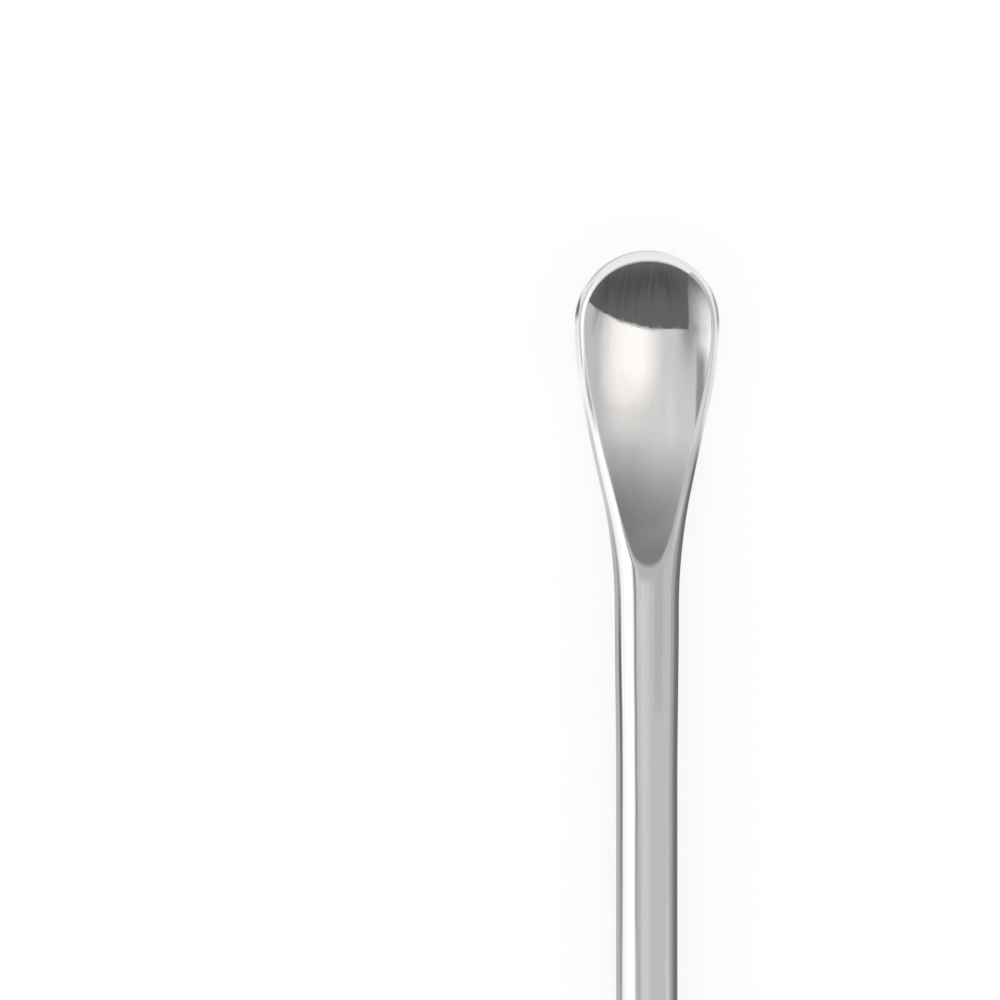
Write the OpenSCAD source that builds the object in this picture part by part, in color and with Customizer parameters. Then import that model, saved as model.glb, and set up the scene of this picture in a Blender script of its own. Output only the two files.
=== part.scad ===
// Spoon-ended laboratory spatula, one piece of polished stainless steel.
// It lies on its back: the spoon's end points along +Y, the bowl opens upwards along +Z and the
// surface that it rests on is z = 0. "Station" below is the distance back from the spoon's tip.

/* [Shaft] */
// Length from the tip of the spoon to the plain end
overall_l = 210; // [120:1:320]
// Diameter of the round shaft
shaft_d = 5; // [4.4:0.1:6]
// Height of the dome on the plain end
dome_h = 1.4; // [0.2:0.1:2.2]

/* [Head outline] */
// Width of the head at its widest
head_w = 11.8; // [10.8:0.1:15]
// Angle between each straight flank and the centre line
flank_angle = 12.2; // [8:0.1:16]
// Radius of the shoulder between the round tip and the flank
shoulder_r = 31; // [6:0.5:55]
// Radius of the hollow curve between the flank and the neck
neck_r = 45; // [6:0.5:70]
// How far the neck stands out past the shaft on each side
neck_swell = 0.12; // [0:0.01:0.4]
// Length over which the swollen neck thins down to the shaft
taper_l = 14; // [5:0.5:45]

/* [Bowl] */
// Radius of the bowl's cross-section
bowl_r = 10.7; // [9.5:0.1:13]
// Station of the deepest point of the bowl
bowl_low = 14; // [13:0.5:15.5]
// Station where the bowl runs out into the neck
bowl_end = 26; // [25:0.5:28]
// Height of the bowl's floor at its deepest point
floor_h = 2; // [1.7:0.05:2.3]
// Share of the tail's rise by which its curve leads a plain parabola
tail_lead = 0.8; // [0.4:0.05:0.9]
// How much the floor rises from its deepest point to the rim at the tip
tip_rise = 2.7; // [2.4:0.05:2.9]
// Radius of the floor's gentle curve in front of its deepest point
front_r = 60; // [45:1:90]
// Distance in front of the deepest point at which the floor begins to turn up faster
front_at = 4.5; // [3:0.5:6]

/* [Rim] */
// Width of the rim in front of the bowl
rim_tip_w = 0.9; // [0.7:0.05:1.2]
// Radius of the rounding on the outer side of the rim
lip_r = 1.46; // [1.3:0.02:1.6]
// Height of the head's widest line at the tip
tip_edge_h = 3.35; // [3.2:0.05:3.5]
// Height of that line where it dips behind the spoon
low_edge_h = 1.5; // [1.35:0.05:1.7]
// Station of the dip, from which the head begins to turn into the round neck
low_edge_at = 15.8; // [15:0.1:17]
// How far the bowl's inner edge is eased
edge_ease = 0.12; // [0.02:0.01:0.25]

/* [Back] */
// Sweep of the back's cross-section arc at the sides of the spoon, in degrees
side_sweep = 80; // [60:1:88]
// Sweep of the back's arc at the tip, in degrees
tip_sweep = 50; // [25:1:70]
// How much the back's centre line rises from the deepest point to the widest
keel_rise = 0.6; // [0:0.05:0.8]

/* [Hidden] */

// Facets: rungs round the tip, along the bowl and along the neck, and points on each rung.
tip_rungs = 18;
bowl_rungs = 36;
neck_rungs = 12;
back_points = 10;
lip_points = 9;
bowl_points = 12;
$fn = 96;
// How strongly the rungs crowd together towards the bowl's end, on either side of it.
bowl_crowding = 1.5;
neck_crowding = 1.4;
// Times that the search for the bowl's edge halves its range.
halvings = 24;

// The head runs on into the shaft as a plug that is finer by a hair, so that the two are one solid.
plug_l = 1;
plug_gap = 0.02;

shaft_r = shaft_d / 2;
neck_w = shaft_r + neck_swell;
tip_r = head_w / 2;

// Stations at which one stretch of the outline meets the next.
widest_at = tip_r;
shoulder_end = widest_at + shoulder_r * sin(flank_angle);
flank_drop = tip_r - neck_w - (shoulder_r + neck_r) * (1 - cos(flank_angle));
flank_end = shoulder_end + flank_drop / tan(flank_angle);
neck_at = flank_end + neck_r * sin(flank_angle);
head_l = neck_at + taper_l;
// Station from which the cross-section is fully round, just before the bowl's end.
round_at = bowl_end - 0.4;

// Run of the bowl's floor forward to the rim and back to the neck, and its rise to the neck.
front_run = bowl_low - rim_tip_w;
tail_run = bowl_end - bowl_low;
tail_rise = shaft_d - floor_h;
// How fast the floor turns up in front, which makes the rest of tip_rise.
front_turn = (tip_rise - front_run ^ 2 / (2 * front_r)) / (front_run - front_at) ^ 3;

function mix(a, b, t) = a + (b - a) * t;
function smooth(t) = let (u = min(max(t, 0), 1)) u * u * (3 - 2 * u);

// Half the width of the head at a station behind its widest line.
function half_width(s) =
    s <= shoulder_end ? tip_r - shoulder_r + sqrt(shoulder_r ^ 2 - (s - widest_at) ^ 2)
    : s <= flank_end ? half_width(shoulder_end) - (s - shoulder_end) * tan(flank_angle)
    : s <= neck_at ? neck_w + neck_r - sqrt(neck_r ^ 2 - (neck_at - s) ^ 2)
    : mix(neck_w, shaft_r, smooth((s - neck_at) / taper_l));

// How far the head has gone from spoon to neck: 0 to 1.
function neck_share(s) = smooth((s - low_edge_at) / (round_at - low_edge_at));

// Height of the head's widest line, which dips behind the spoon and rises to the shaft's axis.
function edge_height(s) =
    s < low_edge_at ? mix(tip_edge_h, low_edge_h, smooth(s / low_edge_at))
    : mix(low_edge_h, shaft_r, neck_share(s));

// Height of the back's centre line.
function keel_height(s) = keel_rise * (max(0, bowl_low - s) / (bowl_low - widest_at)) ^ 2;

// Height of the bowl's floor on the centre line.
function floor_height(s) =
    s < bowl_low ? front_height(bowl_low - s) : tail_height((s - bowl_low) / tail_run);
function front_height(d) = floor_h + d ^ 2 / (2 * front_r) + front_turn * max(0, d - front_at) ^ 3;
function tail_height(t) = floor_h + tail_rise * t ^ 2 * (1 + tail_lead * (1 - t));

// Height of the bowl's surface at any point of the spoon.
function bowl_height(x, s) = floor_height(s) + bowl_r - sqrt(bowl_r ^ 2 - x ^ 2);

// A rung runs from a foot on the centre line out to the head's edge. Round the tip all rungs
// share one foot and fan out; behind it they lie square to the centre line.
// Each is [foot station, angle from the centre line, length].
fan = [for (i = [0 : tip_rungs - 1]) [widest_at, 90 * i / tip_rungs, tip_r]];
along_bowl = [for (i = [0 : bowl_rungs])
    let (s = mix(bowl_end, widest_at, (1 - i / bowl_rungs) ^ bowl_crowding))
    [s, 90, half_width(s)]];
along_neck = [for (i = [1 : neck_rungs])
    let (s = mix(bowl_end, head_l, (i / neck_rungs) ^ neck_crowding))
    [s, 90, half_width(s)]];
plug_end = [head_l + plug_l, 90, shaft_r];
rungs = concat(fan, along_bowl, along_neck, [plug_end]);

function rung_x(rung, t) = rung[2] * t * sin(rung[1]);
function rung_s(rung, t) = rung[0] - rung[2] * t * cos(rung[1]);

function rung_edge(rung) = edge_height(rung_s(rung, 1));
function rung_neck(rung) = neck_share(rung_s(rung, 1));
function rung_sweep(rung) =
    mix(mix(side_sweep, tip_sweep, cos(rung[1]) ^ 2), 90, rung_neck(rung));

// Top of the head before the bowl is sunk into it, at a share t of the rung.
function blank_height(rung, t) =
    let (w = mix(lip_r, rung[2], rung_neck(rung)))
    let (h = mix(lip_r, shaft_r, rung_neck(rung)))
    let (u = max(0, (rung[2] * (t - 1) + w) / w))
    rung_edge(rung) + h * sqrt(max(0, 1 - u ^ 2));

// Bowl under the same point, or far above the head where the bowl has ended.
function sunk_height(rung, t) =
    rung[0] < bowl_end ? bowl_height(rung_x(rung, t), rung_s(rung, t)) : 2 * shaft_d;

// Finished top: the lower of the blank and the bowl, with the edge between them eased.
function top_height(rung, t) =
    let (a = blank_height(rung, t))
    let (b = sunk_height(rung, t))
    let (h = max(0, 1 - abs(a - b) / edge_ease))
    min(a, b) - h ^ 2 * edge_ease / 4;

// Share of the rung at which the bowl's edge lies, found by halving.
function edge_share(rung, lo = 0, hi = 1, n = halvings) =
    n == 0 ? (lo + hi) / 2
    : let (t = (lo + hi) / 2)
      sunk_height(rung, t) < blank_height(rung, t)
      ? edge_share(rung, t, hi, n - 1)
      : edge_share(rung, lo, t, n - 1);

// Points of a rung: under the back, over the lip to the bowl's edge, then down to the floor.
function back_point(rung, k) =
    let (a = rung_sweep(rung) * k / back_points)
    let (t = sin(a) / sin(rung_sweep(rung)))
    let (rise = rung_edge(rung) - keel_height(rung_s(rung, 1)))
    [t, keel_height(rung_s(rung, t)) + rise * (1 - cos(a)) / (1 - cos(rung_sweep(rung)))];

function rung_points(rung) =
    let (edge = rung[0] < bowl_end ? edge_share(rung) : 0)
    concat(
        [for (k = [0 : back_points]) back_point(rung, k)],
        [for (k = [1 : lip_points])
            let (t = mix(edge, 1, cos(90 * k / lip_points)))
            [t, top_height(rung, t)]],
        [for (k = [1 : bowl_points])
            let (t = edge * (1 - k / bowl_points))
            [t, top_height(rung, t)]]);

// The same points in space, on one side of the centre line, drawn in to the shaft's axis by the
// plug's gap where the rung lies in the shaft.
function placed(rung, side) =
    let (k = rung[0] < head_l ? 1 : 1 - plug_gap / shaft_r)
    [for (p = rung_points(rung))
        [side * k * rung_x(rung, p[0]),
         overall_l / 2 - rung_s(rung, p[0]),
         mix(shaft_r, p[1], k)]];

// Two triangles for each cell of the net, apart from those that have closed up to a line.
function whole(p, q, r) = p != q && q != r && r != p;

module head() {
    sides = concat(
        [for (i = [len(rungs) - 1 : -1 : 0]) placed(rungs[i], 1)],
        [for (i = [1 : len(rungs) - 1]) placed(rungs[i], -1)]);
    n = len(sides[0]);
    points = [for (row = sides) each row];
    cells = [for (i = [0 : len(sides) - 2], k = [0 : n - 2])
        let (a = i * n + k, b = a + n)
        each [[a, a + 1, b + 1], [a, b + 1, b]]];
    skin = [for (f = cells) if (whole(points[f[0]], points[f[1]], points[f[2]])) f];
    last = n * (len(sides) - 1);
    plug_face = concat([for (k = [n - 1 : -1 : 0]) k], [for (k = [1 : n - 2]) last + k]);
    polyhedron(points, concat(skin, [plug_face]));
}

// Round shaft, turned about its own axis, with the dome on its plain end.
module shaft() {
    l = overall_l - head_l;
    dome_r = (shaft_r ^ 2 + dome_h ^ 2) / (2 * dome_h);
    translate([0, overall_l / 2 - head_l, shaft_r])
        rotate([90, 0, 0])
        rotate_extrude() {
            square([shaft_r, l - dome_h]);
            intersection() {
                translate([0, l - dome_h]) square([shaft_r, dome_h]);
                translate([0, l - dome_r]) circle(dome_r);
            }
        }
}

module spatula() {
    color("silver") union() {
        head();
        shaft();
    }
}

spatula();
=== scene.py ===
import math

import bmesh
import bpy
import numpy as np
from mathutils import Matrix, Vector


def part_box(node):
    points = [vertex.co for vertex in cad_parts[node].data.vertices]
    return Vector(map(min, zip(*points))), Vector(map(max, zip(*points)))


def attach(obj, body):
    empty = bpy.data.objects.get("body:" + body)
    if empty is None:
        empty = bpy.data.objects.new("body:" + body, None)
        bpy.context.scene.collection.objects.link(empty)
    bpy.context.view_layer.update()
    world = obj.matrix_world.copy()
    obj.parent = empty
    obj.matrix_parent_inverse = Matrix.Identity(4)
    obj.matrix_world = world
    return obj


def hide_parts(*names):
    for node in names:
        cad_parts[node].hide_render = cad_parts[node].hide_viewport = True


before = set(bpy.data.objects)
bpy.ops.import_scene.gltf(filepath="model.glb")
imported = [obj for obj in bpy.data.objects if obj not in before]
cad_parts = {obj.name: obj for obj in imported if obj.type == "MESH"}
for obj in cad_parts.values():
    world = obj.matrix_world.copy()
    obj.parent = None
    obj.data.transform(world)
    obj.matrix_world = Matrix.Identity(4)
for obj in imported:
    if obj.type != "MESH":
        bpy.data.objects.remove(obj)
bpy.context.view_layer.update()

# A mirror-polished laboratory spatula lying on its back on a white floor, seen from almost straight
# above. Sizes are in millimetres and angles in degrees; MM turns a length into Blender's metres.
# "Station" is the distance back from the spoon's tip, as in the part's source.
MM = 0.001

low, high = [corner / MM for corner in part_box("spatula")]
overall_l = high.y - low.y
shaft_d = high.z - low.z
head_w = high.x - low.x

# The spoon's shape, with the names and sizes of the part's source.
dome_h = 1.4
flank_angle = 12.2
shoulder_r = 31
neck_r = 45
neck_swell = 0.12
taper_l = 14
bowl_r = 10.7
floor_h = 2
bowl_low = 14
bowl_end = 26
tail_lead = 0.8
rim_tip_w = 0.9
tip_rise = 2.7
front_r = 60
front_at = 4.5
lip_r = 1.46
tip_edge_h = 3.35
low_edge_h = 1.5
low_edge_at = 15.8
round_at = 25.6
side_sweep = 80
tip_sweep = 50
keel_rise = 0.6

# How far the bowl's edge is eased, which grows from END_EASE_AT to the bowl's end.
EDGE_EASE = 0.04
END_EASE = 0.2
END_EASE_AT = 20
# How far past its end the bowl is still worked out, so that the eased end has a surface to meet.
END_REACH = 1
# How far the change of the floor's curve is spread to either side of the deepest point, and by how
# many samples, and the share of the tail's run up to which the tail's curve is followed.
FLOOR_EASE = 2.4
FLOOR_SAMPLES = 11
TAIL_REACH = 1.2

# How finely the skin is divided: rungs along the spatula and points on each rung.
TIP_RUNGS = 60
BOWL_RUNGS = 150
NECK_RUNGS = 60
SHAFT_RUNGS = 24
DOME_RUNGS = 24
BACK_POINTS = 30
LIP_POINTS = 30
BOWL_POINTS = 40
# How strongly the rungs crowd towards the bowl's end, on either side of it, and the bowl's points
# towards its edge.
BOWL_CROWDING = 1.5
NECK_CROWDING = 1.4
EDGE_CROWDING = 1.4
# How far in front of the dome the rungs of the dome begin.
DOME_LEAD = 1
# Times that the search for the bowl's edge halves its range.
HALVINGS = 40
# The least length that a rung counts as, so that nothing is divided by zero.
SHORTEST = 1e-6
# Points that agree to this many decimals of a millimetre are joined.
WELD_DIGITS = 6


def mix(a, b, share):
    return a + (b - a) * share


def smooth(share):
    share = np.clip(share, 0, 1)
    return share * share * (3 - 2 * share)


def under_both(a, b, ease=EDGE_EASE):
    """The lower of two heights, with the edge between them eased."""
    near = np.maximum(0, 1 - np.abs(a - b) / ease)
    return np.minimum(a, b) - near * near * ease / 4


shaft_r = shaft_d / 2
neck_w = shaft_r + neck_swell
tip_r = head_w / 2
flank_slope = math.tan(math.radians(flank_angle))
flank_turn = 1 - math.cos(math.radians(flank_angle))
flank_reach = math.sin(math.radians(flank_angle))

# Stations at which one stretch of the outline meets the next.
widest_at = tip_r
shoulder_end = widest_at + shoulder_r * flank_reach
shoulder_end_w = tip_r - shoulder_r * flank_turn
flank_end = shoulder_end + (shoulder_end_w - neck_w - neck_r * flank_turn) / flank_slope
neck_at = flank_end + neck_r * flank_reach
head_l = neck_at + taper_l


def half_width(s):
    """Half the width of the head at a station behind its widest line."""
    shoulder = tip_r - shoulder_r + np.sqrt(np.maximum(0, shoulder_r**2 - (s - widest_at) ** 2))
    flank = shoulder_end_w - (s - shoulder_end) * flank_slope
    hollow = neck_w + neck_r - np.sqrt(np.maximum(0, neck_r**2 - (neck_at - s) ** 2))
    taper = mix(neck_w, shaft_r, smooth((s - neck_at) / taper_l))
    return np.select([s <= shoulder_end, s <= flank_end, s <= neck_at], [shoulder, flank, hollow], taper)


# Run of the bowl's floor forward to the rim and back to the neck, and how fast its front turns up.
front_run = bowl_low - rim_tip_w
tail_run = bowl_end - bowl_low
tail_rise = shaft_d - floor_h
front_turn = (tip_rise - front_run**2 / (2 * front_r)) / (front_run - front_at) ** 3


def sharp_floor(s):
    """The bowl's floor on the centre line, before the change of its curve is eased."""
    ahead = np.maximum(0, bowl_low - s)
    front = floor_h + ahead**2 / (2 * front_r) + front_turn * np.maximum(0, ahead - front_at) ** 3
    back = np.clip((s - bowl_low) / tail_run, 0, TAIL_REACH)
    tail = floor_h + tail_rise * back**2 * (1 + tail_lead * (1 - back))
    return np.where(s < bowl_low, front, tail)


def floor_height(s):
    """The bowl's floor on the centre line, with the change of its curve at the deepest point eased."""
    weights = np.hanning(FLOOR_SAMPLES + 2)[1:-1]
    steps = np.linspace(-FLOOR_EASE, FLOOR_EASE, FLOOR_SAMPLES)
    return sum(w * sharp_floor(s + step) for w, step in zip(weights, steps)) / sum(weights)


def bowl_height(x, s):
    """Height of the bowl's surface at any point of the spoon."""
    return floor_height(s) + bowl_r - np.sqrt(np.maximum(0, bowl_r**2 - x * x))


def neck_share(s):
    """How far the head has gone from spoon to neck: 0 to 1."""
    return smooth((s - low_edge_at) / (round_at - low_edge_at))


def edge_height(s):
    """Height of the head's widest line: it dips behind the spoon and rises again to the shaft's axis."""
    spoon = mix(tip_edge_h, low_edge_h, smooth(s / low_edge_at))
    return np.where(s < low_edge_at, spoon, mix(low_edge_h, shaft_r, neck_share(s)))


def keel_height(s):
    """Height of the back's centre line, which rises towards the tip."""
    return keel_rise * (np.maximum(0, bowl_low - s) / (bowl_low - widest_at)) ** 2


def dome_width(s):
    """Half the width of the shaft, which closes over the dome on its plain end."""
    dome_r = (shaft_r**2 + dome_h**2) / (2 * dome_h)
    past = np.maximum(0, s - (overall_l - dome_r))
    return under_both(shaft_r, np.sqrt(np.maximum(0, dome_r**2 - past**2)))


def behind_widest():
    """Stations of the rungs that lie square to the centre line, from the widest line to the plain end."""
    bowl_steps = np.arange(BOWL_RUNGS + 1) / BOWL_RUNGS
    neck_steps = np.arange(1, NECK_RUNGS + 1) / NECK_RUNGS
    dome_from = overall_l - dome_h - DOME_LEAD
    dome_turn = np.linspace(0, math.pi / 2, DOME_RUNGS + 1)[1:]
    bowl = bowl_end - (bowl_end - widest_at) * (1 - bowl_steps) ** BOWL_CROWDING
    neck = mix(bowl_end, head_l, neck_steps**NECK_CROWDING)
    shaft = np.linspace(head_l, dome_from, SHAFT_RUNGS + 1)[1:]
    dome = dome_from + (dome_h + DOME_LEAD) * np.sin(dome_turn)
    return np.concatenate([bowl, neck, shaft, dome])


def all_rungs():
    """A row for each rung: its foot's station, its angle from the centre line and its length. Round the
    tip all rungs share one foot and fan out; behind it they lie square to the centre line."""
    fan = [(widest_at, math.pi / 2 * i / TIP_RUNGS, tip_r) for i in range(TIP_RUNGS)]
    stations = behind_widest()
    widths = np.where(stations <= head_l, half_width(stations), dome_width(stations))
    square = np.column_stack([stations, np.full_like(stations, math.pi / 2), widths])
    return np.vstack([np.array(fan), square])


def columns(rungs):
    """The rungs' foot stations, angles and lengths, a column for each."""
    return rungs[:, 0:1], rungs[:, 1:2], rungs[:, 2:3]


def rung_x(rungs, share):
    """How far from the centre line a point lies at a share of each rung."""
    _, angle, length = columns(rungs)
    return length * share * np.sin(angle)


def rung_s(rungs, share):
    """Station of the same point."""
    foot, angle, length = columns(rungs)
    return foot - length * share * np.cos(angle)


def rung_edge(rungs):
    """Height of the head's widest line at the end of each rung."""
    return edge_height(rung_s(rungs, 1))


def rung_neck(rungs):
    """How far the head has gone from spoon to neck at the end of each rung."""
    return neck_share(rung_s(rungs, 1))


def rung_sweep(rungs):
    """Sweep of the back's arc on each rung, in radians."""
    _, angle, _ = columns(rungs)
    return np.radians(mix(mix(side_sweep, tip_sweep, np.cos(angle) ** 2), 90, rung_neck(rungs)))


def blank_height(rungs, share):
    """Top of the head before the bowl is sunk into it, at a share of each rung."""
    length = np.maximum(columns(rungs)[2], SHORTEST)
    lip_w = mix(lip_r, length, rung_neck(rungs))
    lip_h = mix(lip_r, shaft_r, rung_neck(rungs))
    inward = np.maximum(0, (length * (share - 1) + lip_w) / lip_w)
    return rung_edge(rungs) + lip_h * np.sqrt(np.maximum(0, 1 - inward**2))


def sunk_height(rungs, share):
    """The bowl's surface at the same point."""
    return bowl_height(rung_x(rungs, share), rung_s(rungs, share))


def top_height(rungs, share):
    """Finished top: the lower of the blank and the bowl, with the edge between them eased. Where the
    bowl has ended, it counts as lying far above the head."""
    foot, _, _ = columns(rungs)
    bowl = np.where(foot < bowl_end + END_REACH, sunk_height(rungs, share), 2 * shaft_d)
    to_end = smooth((rung_s(rungs, 1) - END_EASE_AT) / (bowl_end - END_EASE_AT))
    return under_both(blank_height(rungs, share), bowl, mix(EDGE_EASE, END_EASE, to_end))


def edge_share(rungs):
    """Share of each rung at which the bowl's edge lies, found by halving, and 0 past the bowl's end."""
    foot, _, _ = columns(rungs)
    inner, outer = np.zeros_like(foot), np.ones_like(foot)
    for _ in range(HALVINGS):
        middle = (inner + outer) / 2
        in_bowl = sunk_height(rungs, middle) < blank_height(rungs, middle)
        inner, outer = np.where(in_bowl, middle, inner), np.where(in_bowl, outer, middle)
    return np.where(foot < bowl_end, inner, 0)


def back_points(rungs):
    """Shares and heights of the points under the back, from the centre line out to the head's edge."""
    sweep = rung_sweep(rungs)
    arc = sweep * np.linspace(0, 1, BACK_POINTS + 1)
    share = np.sin(arc) / np.sin(sweep)
    rise = rung_edge(rungs) - keel_height(rung_s(rungs, 1))
    height = keel_height(rung_s(rungs, share)) + rise * (1 - np.cos(arc)) / (1 - np.cos(sweep))
    return share, height


def top_points(rungs):
    """The same for the points over the lip to the bowl's edge and then down to the floor."""
    edge = edge_share(rungs)
    lip = edge + (1 - edge) * np.cos(np.linspace(0, math.pi / 2, LIP_POINTS + 1)[1:])
    bowl = edge * (1 - (np.arange(1, BOWL_POINTS + 1) / BOWL_POINTS) ** EDGE_CROWDING)
    share = np.hstack([lip, bowl])
    return share, top_height(rungs, share)


def skin_points():
    """The spatula's right half as a net of points, a row for each rung, drawn in over the dome."""
    rungs = all_rungs()
    share, height = [np.hstack(pair) for pair in zip(back_points(rungs), top_points(rungs))]
    foot, _, length = columns(rungs)
    drawn_in = np.where(foot > head_l, length / shaft_r, 1)
    y = overall_l / 2 - rung_s(rungs, share)
    return np.stack([rung_x(rungs, share), y, mix(shaft_r, height, drawn_in)], axis=-1)


def skin_mesh(name):
    """Both halves in one closed net, its closed-up cells left out and its doubled points joined."""
    right = skin_points()
    left = right[1:, :, :] * np.array([-1, 1, 1])
    net = np.concatenate([right[::-1], left])
    rows, places = net.shape[:2]
    flat = np.round(net.reshape(-1, 3), WELD_DIGITS)
    points, index = np.unique(flat, axis=0, return_inverse=True)
    index = index.reshape(rows, places)
    corners = np.stack([index[:-1, :-1], index[:-1, 1:], index[1:, 1:], index[1:, :-1]], axis=-1)
    cells = [list(dict.fromkeys(cell)) for cell in corners.reshape(-1, 4).tolist()]
    mesh = bpy.data.meshes.new(name)
    mesh.from_pydata((points * MM).tolist(), [], [cell for cell in cells if len(cell) > 2])
    mesh.validate()
    mesh.polygons.foreach_set("use_smooth", [True] * len(mesh.polygons))
    return mesh


def new_material(name):
    """A material and its empty node tree."""
    material = bpy.data.materials.new(name)
    material.use_nodes = True
    material.node_tree.nodes.clear()
    return material, material.node_tree


def shown(tree, surface):
    """Ends a material with that surface."""
    out = tree.nodes.new("ShaderNodeOutputMaterial")
    tree.links.new(surface, out.inputs["Surface"])


def blended(tree, share, first, second):
    """Two surfaces mixed, of which the share is how much of the second shows."""
    blend = tree.nodes.new("ShaderNodeMixShader")
    tree.links.new(share, blend.inputs["Fac"])
    tree.links.new(first, blend.inputs[1])
    tree.links.new(second, blend.inputs[2])
    return blend.outputs["Shader"]


def combined(tree, operation, a, b):
    """Two values put together by an operation."""
    both = tree.nodes.new("ShaderNodeMath")
    both.operation = operation
    tree.links.new(a, both.inputs[0])
    tree.links.new(b, both.inputs[1])
    return both.outputs[0]


def ranged(tree, value, low_value, high_value, start, end):
    """A value stretched so that start gives the low value and end the high one."""
    spread = tree.nodes.new("ShaderNodeMapRange")
    spread.inputs["From Min"].default_value = start
    spread.inputs["From Max"].default_value = end
    spread.inputs["To Min"].default_value = low_value
    spread.inputs["To Max"].default_value = high_value
    tree.links.new(value, spread.inputs["Value"])
    return spread.outputs["Result"]


def noise(tree, place, scale, detail):
    """Noise with that many grains to a unit of the place, along each axis."""
    scaled = tree.nodes.new("ShaderNodeMapping")
    scaled.inputs["Scale"].default_value = scale
    tree.links.new(place, scaled.inputs["Vector"])
    grain = tree.nodes.new("ShaderNodeTexNoise")
    grain.inputs["Scale"].default_value = 1
    grain.inputs["Detail"].default_value = detail
    tree.links.new(scaled.outputs["Vector"], grain.inputs["Vector"])
    return grain.outputs["Fac"]


def polish_grain(tree, spacing, stretch, detail):
    """Noise whose grain is spacing wide across the spatula and stretch times as long along it."""
    place = tree.nodes.new("ShaderNodeTexCoord")
    scale = [1 / (spacing * MM * k) for k in (1, stretch, 1)]
    return noise(tree, place.outputs["Object"], scale, detail)


def bumped(tree, height, depth, before=None):
    """A surface direction tilted by bumps of that depth, on top of those before it."""
    bump = tree.nodes.new("ShaderNodeBump")
    bump.inputs["Strength"].default_value = 1
    bump.inputs["Distance"].default_value = depth * MM
    tree.links.new(height, bump.inputs["Height"])
    if before is not None:
        tree.links.new(before, bump.inputs["Normal"])
    return bump.outputs["Normal"]


# The steel's colour and haze, each from its least to its most along the polish lines.
DARK_STEEL = (0.78, 0.78, 0.775, 1)
PALE_STEEL = (0.82, 0.82, 0.815, 1)
LEAST_HAZE = 0.03
MOST_HAZE = 0.11


def streaked_colour(tree):
    """Steel a little darker and lighter by turns along the finest polish lines."""
    mixed = tree.nodes.new("ShaderNodeMix")
    mixed.data_type = "RGBA"
    mixed.inputs["A"].default_value = DARK_STEEL
    mixed.inputs["B"].default_value = PALE_STEEL
    grain = polish_grain(tree, spacing=0.12, stretch=20, detail=2)
    tree.links.new(ranged(tree, grain, 0, 1, start=0.3, end=0.7), mixed.inputs["Factor"])
    return mixed.outputs["Result"]


def polished_steel():
    """Mirror-polished stainless steel: fine hazy polish lines over a slight waviness."""
    material, tree = new_material("polished_steel")
    steel = tree.nodes.new("ShaderNodeBsdfPrincipled")
    tree.links.new(streaked_colour(tree), steel.inputs["Base Color"])
    steel.inputs["Metallic"].default_value = 1
    haze = polish_grain(tree, spacing=0.16, stretch=16, detail=3)
    roughness = ranged(tree, haze, LEAST_HAZE, MOST_HAZE, start=0.45, end=0.8)
    tree.links.new(roughness, steel.inputs["Roughness"])
    waves = bumped(tree, polish_grain(tree, spacing=1.8, stretch=3, detail=1), depth=0.018)
    fine = polish_grain(tree, spacing=0.3, stretch=30, detail=3)
    tree.links.new(bumped(tree, fine, depth=0.0006, before=waves), steel.inputs["Normal"])
    shown(tree, steel.outputs["BSDF"])
    return material


def in_scene(name, mesh):
    """An object with that mesh, linked into the scene."""
    piece = bpy.data.objects.new(name, mesh)
    bpy.context.scene.collection.objects.link(piece)
    return piece


def flat_piece(name, material, corners):
    """A flat polygon through corners given in metres."""
    mesh = bpy.data.meshes.new(name)
    mesh.from_pydata(corners, [], [tuple(range(len(corners)))])
    mesh.materials.append(material)
    return in_scene(name, mesh)


# Tints of the cards' glow.
WHITE = (1, 1, 1)
COOL = (0.96, 0.98, 1)
WARM = (1, 0.965, 0.935)
CREAM = (1, 0.985, 0.95)
PINK = (1, 0.955, 0.975)
# The fades of a card whose glow is even from side to side.
EVEN = (0, 0)
# How far fades reach past a card's sides, as a share of the card, so that an even card stays even.
HAIR = 0.001
# How much of a folded card's glow its brightest streak has.
FOLD_SHARE = 0.6


def fade(tree, place, start, end):
    """0 to 1 over the first share of a card's span and 1 to 0 over the last, along one axis."""
    shares = []
    for dark, light in ((-HAIR, start), (1 + HAIR, 1 - end)):
        ramp = tree.nodes.new("ShaderNodeMapRange")
        ramp.interpolation_type = "SMOOTHSTEP"
        ramp.inputs["From Min"].default_value = dark
        ramp.inputs["From Max"].default_value = light
        tree.links.new(place, ramp.inputs["Value"])
        shares.append(ramp.outputs["Result"])
    return combined(tree, "MULTIPLY", *shares)


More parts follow.
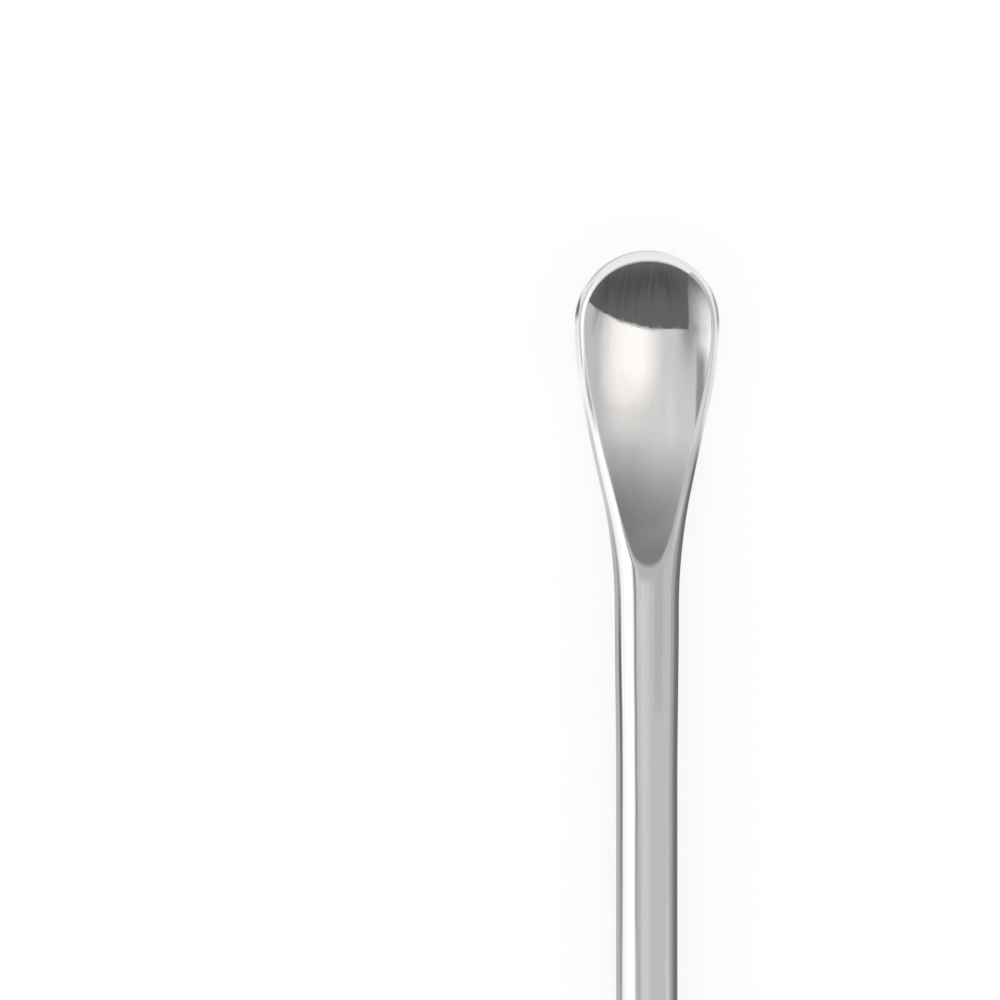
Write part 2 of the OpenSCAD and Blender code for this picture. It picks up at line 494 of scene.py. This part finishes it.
def glow(name, colour, level, soft_x=EVEN, soft_y=EVEN, soft_z=EVEN, folds=None):
    """A glow of that level, where 1 is white, that fades out over those shares of its sides.
    Folds, stated as how many lie across and along the card, leave only streaks of it."""
    material, tree = new_material(name)
    place = tree.nodes.new("ShaderNodeTexCoord").outputs["Generated"]
    axes = tree.nodes.new("ShaderNodeSeparateXYZ")
    tree.links.new(place, axes.inputs[0])
    share = fade(tree, axes.outputs["X"], *soft_x)
    for axis, soft in (("Y", soft_y), ("Z", soft_z)):
        share = combined(tree, "MULTIPLY", share, fade(tree, axes.outputs[axis], *soft))
    if folds is not None:
        grain = noise(tree, place, scale=(*folds, 0), detail=2)
        streaks = ranged(tree, grain, 0, FOLD_SHARE, start=0.42, end=0.75)
        share = combined(tree, "MULTIPLY", share, streaks)
    light = tree.nodes.new("ShaderNodeEmission")
    light.inputs["Color"].default_value = (*colour, 1)
    light.inputs["Strength"].default_value = level
    clear = tree.nodes.new("ShaderNodeBsdfTransparent")
    shown(tree, blended(tree, share, clear.outputs["BSDF"], light.outputs["Emission"]))
    return material


def only_in_reflections(piece):
    piece.visible_camera = False
    piece.visible_diffuse = False
    piece.visible_shadow = False


def rectangle(across, along):
    """The corners of a rectangle that spans those ranges across and along the spatula."""
    (left, right), (near, far) = across, along
    return [(left, near), (right, near), (right, far), (left, far)]


def shares_of(span, widths):
    """The widths of a card's two fades as shares of its span."""
    start, end = span
    return [width / (end - start) for width in widths]


# The station and the height of the point in the spoon that the cards overhead are set round.
SPOON_STATION = 11
SPOON_HEIGHT = 3
spoon_at = Vector((0, overall_l / 2 - SPOON_STATION, SPOON_HEIGHT)) * MM
# How far above that point the ceiling and the lamp are, in metres.
CEILING = 0.6
LAMP_HEIGHT = 0.045
# Heights of the cards on the floor, in millimetres, one just above the other.
GLOW_Z = 0.1
FLAG_Z = 0.2
LINE_Z = 0.3
TOP_LINE_Z = 0.4
# Heights of the small cards close over the bowl's end, in millimetres.
NECK_SHADE_Z = 9.9
END_SHADE_Z = 10
CREST_SHADE_Z = 10.1


def overhead(name, corners, height, level, colour=WHITE, soft_x=EVEN, soft_y=EVEN, folds=None):
    """A level card over the spoon. Its corners are how far each lies sideways and forward of the
    point straight above the spoon, for each unit of height."""
    places = [spoon_at + Vector((x, y, 1)) * height for x, y in corners]
    only_in_reflections(flat_piece(name, glow(name, colour, level, soft_x, soft_y, folds=folds), places))


def panel(name, across, along, height, level, colour=WHITE, fade_x=EVEN, fade_y=EVEN, folds=None):
    """A rectangular card over the spoon that fades out over those distances inside its sides."""
    soft_x, soft_y = shares_of(across, fade_x), shares_of(along, fade_y)
    overhead(name, rectangle(across, along), height, level, colour, soft_x, soft_y, folds)


def wall(name, start, end, top, level, colour=WHITE, soft_y=EVEN, soft_z=EVEN):
    """An upright card that stands on the floor from one point to another, in metres. It fades out over
    those shares of its length and height."""
    corners = [(*start, 0), (*end, 0), (*end, top), (*start, top)]
    only_in_reflections(flat_piece(name, glow(name, colour, level, EVEN, soft_y, soft_z), corners))


def low_card(name, across, along, z, level, colour=WHITE, fade_x=EVEN, fade_y=EVEN):
    """A level card close to the spatula, its sides, height and fades in millimetres."""
    corners = [Vector((x, y, z)) * MM for x, y in rectangle(across, along)]
    soft_x, soft_y = shares_of(across, fade_x), shares_of(along, fade_y)
    only_in_reflections(flat_piece(name, glow(name, colour, level, soft_x, soft_y), corners))


# The light tent's level and its radius in metres.
TENT_LEVEL = 0.64
TENT_RADIUS = 3
# Half the floor's width in metres, and how much of its look is plain white instead of lit and shaded.
FLOOR_REACH = 4
FLOOR_WHITE = 0.8


def tent():
    """The light tent that the polished steel reflects wherever there is no card."""
    mesh = bpy.data.meshes.new("tent")
    ball = bmesh.new()
    bmesh.ops.create_uvsphere(ball, u_segments=32, v_segments=16, radius=TENT_RADIUS)
    ball.to_mesh(mesh)
    ball.free()
    mesh.materials.append(glow("tent", COOL, TENT_LEVEL))
    only_in_reflections(in_scene("tent", mesh))


def seen(tree):
    """1 for rays of the camera and those that a mirror or glass passes on, and 0 for all others."""
    path = tree.nodes.new("ShaderNodeLightPath")
    ray = path.outputs["Is Camera Ray"]
    for other in ("Is Glossy Ray", "Is Transmission Ray"):
        ray = combined(tree, "MAXIMUM", ray, path.outputs[other])
    return ray


def white_floor():
    """A white floor that shows a soft part of the shadow that falls on it."""
    material, tree = new_material("white_floor")
    matt = tree.nodes.new("ShaderNodeBsdfPrincipled")
    matt.inputs["Base Color"].default_value = (*WHITE, 1)
    matt.inputs["Roughness"].default_value = 1
    white = tree.nodes.new("ShaderNodeEmission")
    white.inputs["Strength"].default_value = 1
    share = ranged(tree, seen(tree), 0, FLOOR_WHITE, start=0, end=1)
    shown(tree, blended(tree, share, matt.outputs["BSDF"], white.outputs["Emission"]))
    return material


def surroundings():
    """White daylight, a white floor and the light tent."""
    world = bpy.data.worlds.new("studio")
    bpy.context.scene.world = world
    world.use_nodes = True
    world.node_tree.nodes["Background"].inputs["Color"].default_value = (*WHITE, 1)
    world.node_tree.nodes["Background"].inputs["Strength"].default_value = 1
    reach = (-FLOOR_REACH, FLOOR_REACH)
    flat_piece("floor", white_floor(), [(x, y, low.z * MM) for x, y in rectangle(reach, reach)])
    tent()


# The bowl is a hollow mirror and shows the cards over it turned round: those on the left show on its
# right, and those towards the spoon's tip show at its neck. The names of these cards say where they
# show, so that "front" is at the tip.
def back_panels():
    """A pale field that grows dimmer towards one side and the back, and a dark gap on its other side."""
    panel("pale_panel", across=(-0.8, 0.35), along=(-0.5, 1.1), height=CEILING, level=0.73,
          fade_x=(0, 0.5))
    panel("dim_side", across=(0.45, 4), along=(-0.15, 1.1), height=CEILING - 0.01, level=0.58,
          fade_x=(0.7, 0), fade_y=(0.4, 0))
    panel("back_shade", across=(-1.6, 2.4), along=(0.1, 1.1), height=CEILING - 0.02, level=0.1,
          fade_x=(1.6, 1.9), fade_y=(1, 0.1))
    panel("gap_back", across=(-1.7, -0.76), along=(-0.02, 1.1), height=CEILING - 0.03, level=0.34,
          fade_x=(0.5, 0.1), fade_y=(0.08, 0.3))
    panel("gap_line", across=(-1.12, -0.8), along=(-0.6, 0.02), height=CEILING - 0.035, level=0.34,
          fade_x=(0.12, 0.06), fade_y=(0.55, 0))


def side_panels():
    """Beyond the gap a glow that fades out into a shade in front of it, a darker corner where it meets
    field and flag, and a pale bar in the field."""
    panel("side_shade", across=(-4, -0.6), along=(-8, -0.3), height=CEILING - 0.04, level=0.2,
          colour=COOL, fade_y=(0, 0.1))
    panel("side_glow", across=(-3, -0.45), along=(-1.4, -0.15), height=CEILING - 0.05, level=1.1,
          colour=COOL, fade_x=(0, 0.9), fade_y=(0.95, 0.15))
    panel("corner_shade", across=(-1, -0.3), along=(-0.5, 0), height=CEILING - 0.055, level=0.4,
          colour=COOL, fade_x=(0.35, 0.35), fade_y=(0.1, 0.35))
    panel("pale_bar", across=(-0.42, -0.18), along=(-0.15, 0.3), height=CEILING - 0.057, level=0.8,
          fade_x=(0.1, 0.1), fade_y=(0.15, 0.2))


def flag():
    """A dark flag in front of the field, with a crisp edge towards it, a darker heart and soft folds."""
    edge = [(-0.66, -0.37), (0, -0.355), (0.5, -0.45), (1, -0.62), (1.5, -0.86), (4, -2.2)]
    whole = edge + [(4, -8), (-2, -8), (-0.72, -1.2)]
    overhead("front_flag", whole, height=CEILING - 0.06, level=0.15, colour=COOL)
    panel("flag_heart", across=(-0.8, 1.5), along=(-1.95, -0.45), height=CEILING - 0.07, level=0.09,
          colour=COOL, fade_x=(0.6, 0.4), fade_y=(0.7, 0.65))
    panel("flag_folds", across=(-0.75, 1.6), along=(-2, -0.34), height=CEILING - 0.08, level=0.17,
          colour=COOL, fade_x=(0.1, 0.3), fade_y=(0.2, 0.1), folds=(36, 2))


def lamp():
    """A soft lamp close above the spoon, with a crisp front edge and a brighter heart just under it."""
    front = [(-0.33, -0.247), (0.02, -0.243), (0.47, -0.32), (1.08, -0.55)]
    whole = front + [(1.08, 0.23), (-0.33, 0.23)]
    overhead("lamp", whole, height=LAMP_HEIGHT, level=0.91, colour=WARM,
             soft_x=(0.48, 0.5), soft_y=(0, 0.44))
    heart = [(-0.2, -0.2455)] + front[1:] + [(1.08, -0.05), (-0.2, -0.05)]
    overhead("lamp_heart", heart, height=LAMP_HEIGHT - 0.001, level=1.24, colour=WARM,
             soft_x=(0.3, 0.625), soft_y=(0, 0.1))


def overhead_cards():
    """What the bowl reflects. Each card hangs lower than the one before it and covers it in part."""
    back_panels()
    side_panels()
    flag()
    lamp()


def walls():
    """What the rim and the shaft reflect from both sides and, as the back, from beyond the tip."""
    wall("left_window", start=(-0.5, -0.1), end=(-0.5, 1.5), top=0.46, level=1.25,
         soft_y=(0.044, 0), soft_z=(0, 0.2))
    wall("left_back", start=(-0.49, 0.15), end=(-0.49, 0.7), top=0.47, level=1.05,
         colour=CREAM, soft_y=(0.75, 0))
    wall("rim_line", start=(-0.024, 0.089), end=(-0.024, 0.118), top=0.0056, level=0.7,
         colour=COOL, soft_y=(0.1, 0.1), soft_z=(0, 0.3))
    wall("back_window", start=(-0.6, 0.7), end=(0.6, 0.7), top=0.55, level=1.05, colour=CREAM)
    wall("right_window", start=(0.6, -0.5), end=(0.6, 0.02), top=0.2, level=0.85, soft_y=(0, 0.15))


def crest_cards():
    """Small cards that keep the lamp's glare off the bowl's end, the crest behind it and the neck."""
    low_card("bowl_end_shade", across=(-3.6, 3.6), along=(80.5, 86.4), z=END_SHADE_Z, level=0.26,
             fade_x=(2.9, 2.9), fade_y=(2.6, 2))
    low_card("crest_shade", across=(-4.5, 10), along=(77.4, 85.4), z=CREST_SHADE_Z, level=0.56,
             fade_x=(1.5, 3), fade_y=(1.4, 1.6))
    low_card("neck_shade", across=(2.2, 9), along=(66, 80.8), z=NECK_SHADE_Z, level=0.55,
             fade_x=(0.8, 1.5), fade_y=(3, 1))


def floor_cards():
    """Glows and darker cards laid on the floor close by, seen only in the reflections of the rim, the
    neck and the shaft: painted light and shade in place of the white floor's look there.
    """
    low_card("right_glow", across=(5.5, 60), along=(80, 97), z=GLOW_Z, level=0.9, fade_y=(9, 4))
    low_card("left_glow", across=(-90, -5), along=(0, 98), z=GLOW_Z, level=1.2,
             colour=PINK, fade_y=(30, 6))
    # Painted shade: a grey sheet on the floor to the right of the spatula, seen only in reflections, that
    # darkens the floor which the steel shows there.
    low_card("right_floor_shade", across=(2, 600), along=(-300, 90), z=FLAG_Z, level=0.47,
             colour=COOL, fade_y=(0, 8))
    low_card("left_rim_flag", across=(-9.5, -2), along=(70, 94), z=FLAG_Z, level=0.75,
             colour=COOL, fade_y=(0, 5))
    low_card("left_flag", across=(-9.5, -2), along=(-100, 85), z=LINE_Z, level=0.56,
             colour=COOL, fade_y=(0, 5))
    low_card("right_flag", across=(2, 18), along=(-100, 91), z=LINE_Z, level=0.19,
             colour=COOL, fade_x=(0, 13), fade_y=(0, 4.5))
    low_card("left_line", across=(-17, -6.4), along=(10, 86), z=TOP_LINE_Z, level=0.13,
             colour=COOL, fade_x=(5, 1.4), fade_y=(70, 16))
    low_card("tip_line", across=(-10, 4), along=(103.5, 109.5), z=FLAG_Z, level=0.72,
             colour=COOL, fade_x=(1.5, 4), fade_y=(1, 2))
    low_card("left_spot", across=(-14, -5.5), along=(98.8, 103), z=LINE_Z, level=0.24,
             colour=COOL, fade_y=(1.8, 1.6))
    low_card("right_spot", across=(5.5, 14), along=(97.5, 104), z=LINE_Z, level=0.5,
             colour=COOL, fade_y=(2, 2))


def side_cards():
    """What the rim, the neck and the shaft reflect."""
    walls()
    crest_cards()
    floor_cards()


# The point that the camera looks at, how far above and to the left of it the camera stands, and its
# lens and sensor, all in millimetres.
AIM = Vector((-12, 84.7, 3))
EYE_ABOVE = 397
EYE_LEFT = 15.9
LENS = 175.8
SENSOR_WIDTH = 36


def camera():
    """A long lens that sees the spatula a little from its left."""
    view = bpy.data.cameras.new("camera")
    view.lens = LENS
    view.sensor_width = SENSOR_WIDTH
    eye = bpy.data.objects.new("camera", view)
    eye.location = (AIM + Vector((-EYE_LEFT, 0, EYE_ABOVE))) * MM
    eye.rotation_euler = (0, -math.atan(EYE_LEFT / EYE_ABOVE), 0)
    bpy.context.scene.collection.objects.link(eye)
    bpy.context.scene.camera = eye


spatula = bpy.data.objects.new("spatula_polished", skin_mesh("spatula_polished"))
bpy.context.scene.collection.objects.link(spatula)
spatula.data.materials.append(polished_steel())
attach(spatula, "root")
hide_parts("spatula")
surroundings()
overhead_cards()
side_cards()
camera()
bpy.context.scene.view_settings.view_transform = "Standard"
